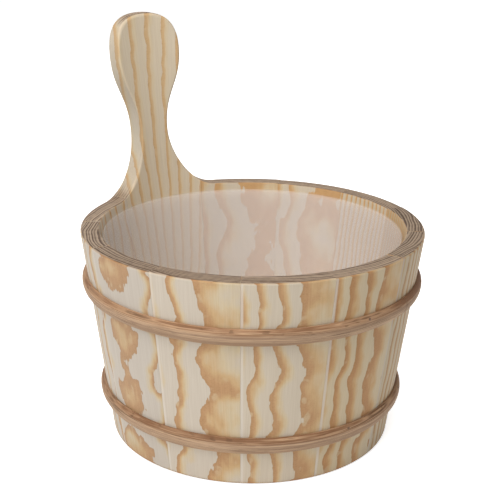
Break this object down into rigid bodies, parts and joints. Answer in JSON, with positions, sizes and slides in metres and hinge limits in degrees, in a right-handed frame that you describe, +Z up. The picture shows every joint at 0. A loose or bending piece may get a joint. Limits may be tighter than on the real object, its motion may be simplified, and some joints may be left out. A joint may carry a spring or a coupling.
{
  "type": "sauna bucket",
  "caption": "Small tapered pine stave bucket with a teardrop handle on one long stave, bent-wood hoops, a planked bottom and a loose translucent plastic liner.",
  "frame": {"origin": "centre of the footprint of the whole part, on the plane that the staves stand on; the tub's own axis lies 8.9 mm towards -Y of it, because the handle leans out at the back", "axes": "+Z up, +Y towards the handle, +X to the right of someone who looks at the handle from across the tub"},
  "size_m": [0.2496, 0.2643, 0.2936],
  "materials": {
    "pine": "sanded bare pine with brown latewood bands",
    "bottom_pine": "planed bare pine",
    "hoop_wood": "bare bent strip with long dark fibres",
    "brad_steel": "dull steel",
    "liner_plastic": "milky translucent plastic"
  },
  "bodies": {
    "tub": {"handle_stave": "pine", "stave_01": "pine", "stave_02": "pine", "stave_03": "pine", "stave_04": "pine", "stave_05": "pine", "stave_06": "pine", "stave_07": "pine", "stave_08": "pine", "stave_09": "pine", "stave_10": "pine", "closing_stave": "pine", "bottom_plank_1": "bottom_pine", "bottom_plank_2": "bottom_pine", "bottom_plank_3": "bottom_pine", "upper_hoop": "hoop_wood", "lower_hoop": "hoop_wood", "upper_hoop_brad_1": "brad_steel", "upper_hoop_brad_2": "brad_steel", "upper_hoop_brad_3": "brad_steel", "lower_hoop_brad_1": "brad_steel", "lower_hoop_brad_2": "brad_steel", "lower_hoop_brad_3": "brad_steel"},
    "liner": {"liner": "liner_plastic"}
  },
  "joints": [
    {"name": "liner_lift", "type": "slide", "parent": "tub", "child": "liner", "axis": [0, 0, 1], "range_m": [0, 0.15]}
  ]
}
